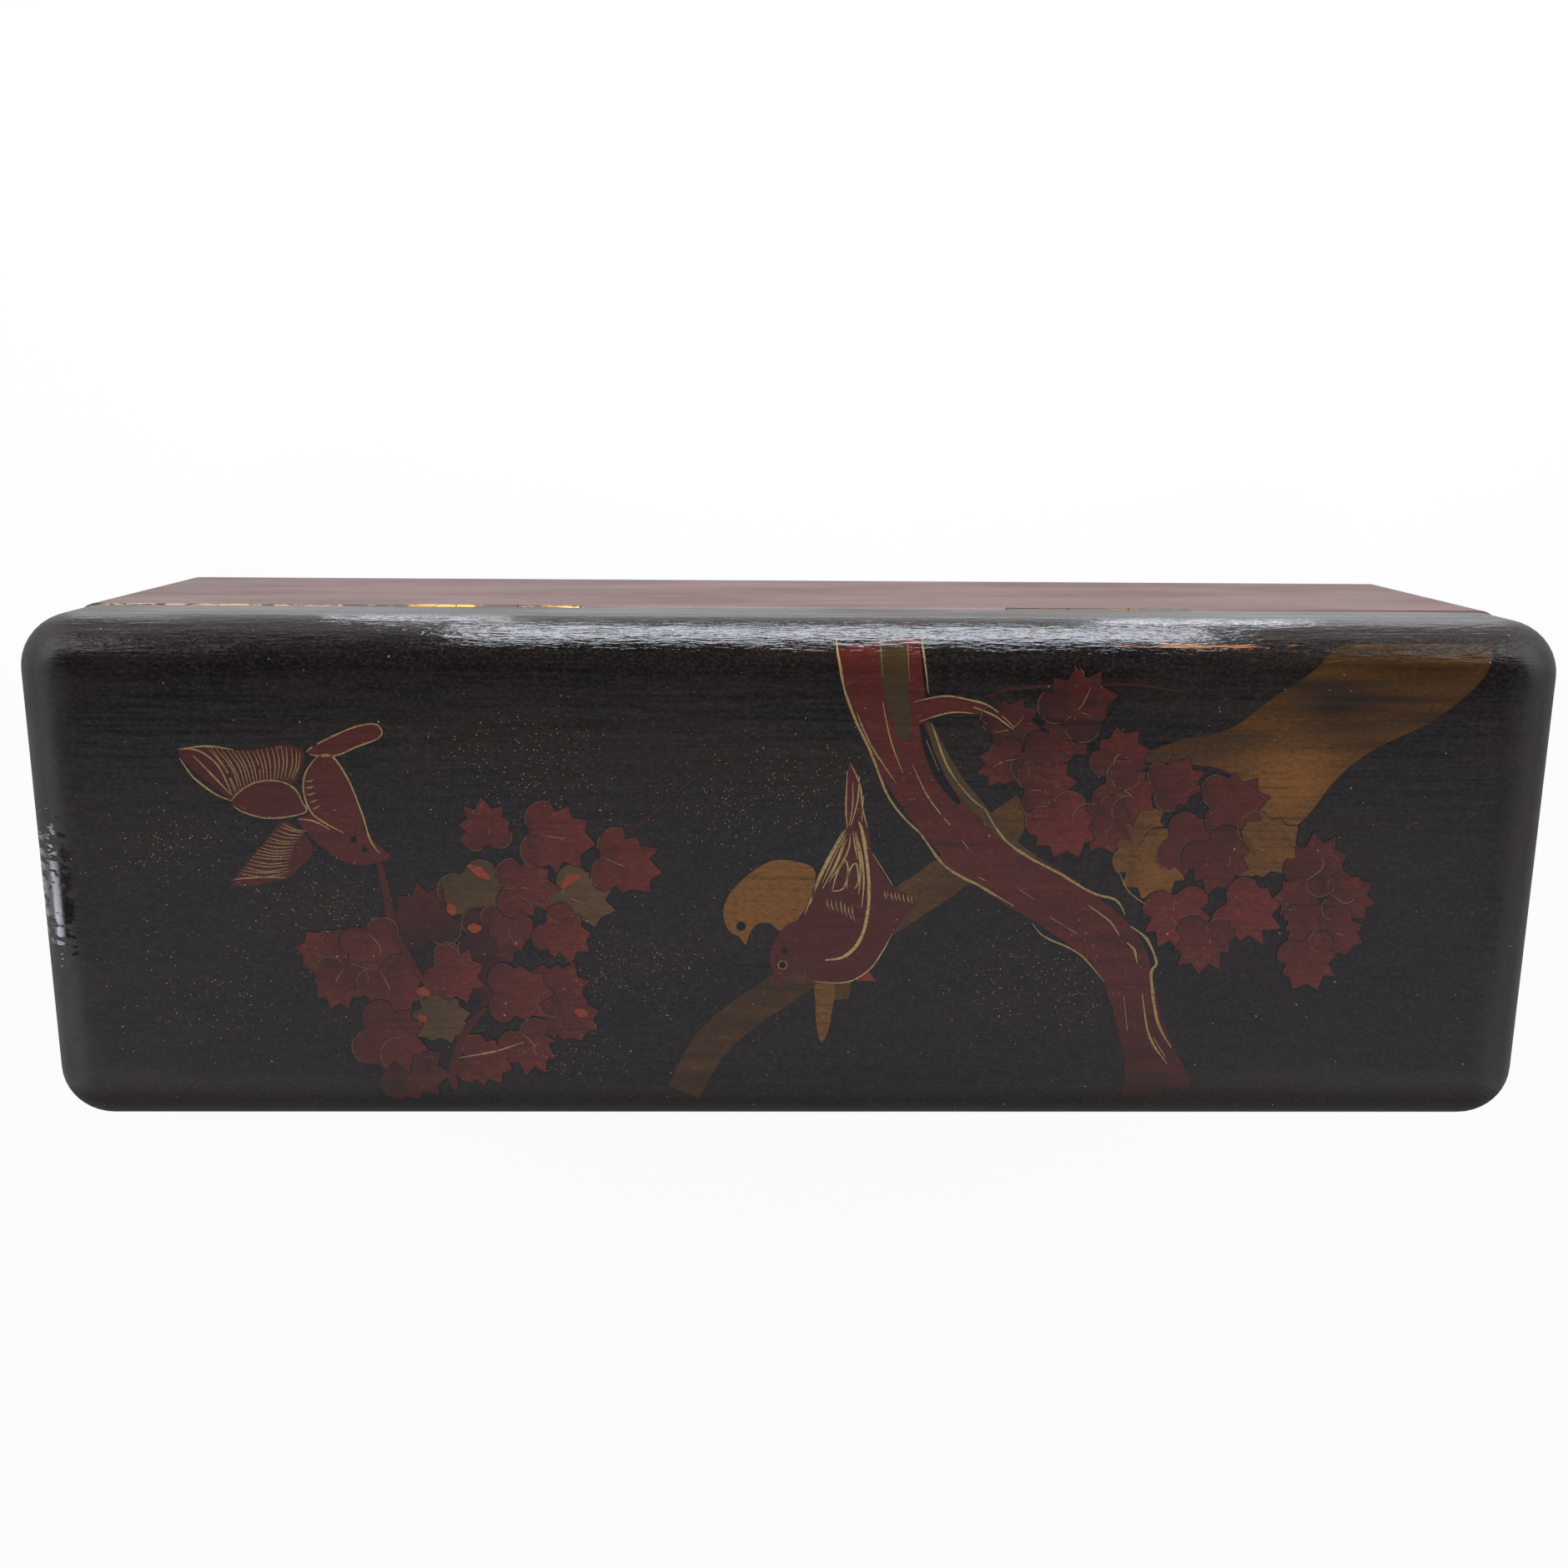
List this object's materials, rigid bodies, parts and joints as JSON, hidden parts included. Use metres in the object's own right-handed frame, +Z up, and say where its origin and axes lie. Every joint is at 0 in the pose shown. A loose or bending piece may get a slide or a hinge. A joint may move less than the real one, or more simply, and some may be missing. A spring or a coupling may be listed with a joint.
{
  "type": "lacquered box",
  "caption": "Long slim lacquered wooden box with a cushion-edged lid that overhangs the front and ends and swings up on brass hinges along its flush back.",
  "frame": {"origin": "on the base plane, under the middle of the closed lid", "axes": "+X along the box, +Y towards the hinged back, +Z up out of the lid"},
  "size_m": [0.29, 0.1003, 0.0824],
  "materials": {
    "lid_lacquer": "brown-black gloss lacquer over wood, with raised and painted ornament on the top",
    "body_lacquer": "thin red-brown gloss lacquer over wood",
    "peg_wood": "bare split bamboo",
    "hinge_brass": "worn and tarnished brass"
  },
  "bodies": {
    "box_body": {"front_wall": "body_lacquer", "back_wall": "body_lacquer", "left_end_wall": "body_lacquer", "right_end_wall": "body_lacquer", "bottom_board": "body_lacquer", "corner_pegs": "peg_wood", "bottom_pegs": "peg_wood", "left_hinge_body_leaf": "hinge_brass", "left_hinge_pin": "hinge_brass", "right_hinge_body_leaf": "hinge_brass", "right_hinge_pin": "hinge_brass", "body_hinge_nails": "hinge_brass"},
    "lid": {"lid_panel": "lid_lacquer", "lid_front_rail": "lid_lacquer", "lid_back_rail": "lid_lacquer", "lid_left_rail": "lid_lacquer", "lid_right_rail": "lid_lacquer", "lid_pegs": "peg_wood", "left_hinge_lid_leaf": "hinge_brass", "right_hinge_lid_leaf": "hinge_brass", "lid_hinge_nails": "hinge_brass"}
  },
  "joints": [
    {"name": "lid_hinge", "type": "hinge", "parent": "box_body", "child": "lid", "pos_m": [0, 0.049, 0.0602], "axis": [-1, 0, 0], "range_deg": [0, 100]}
  ]
}
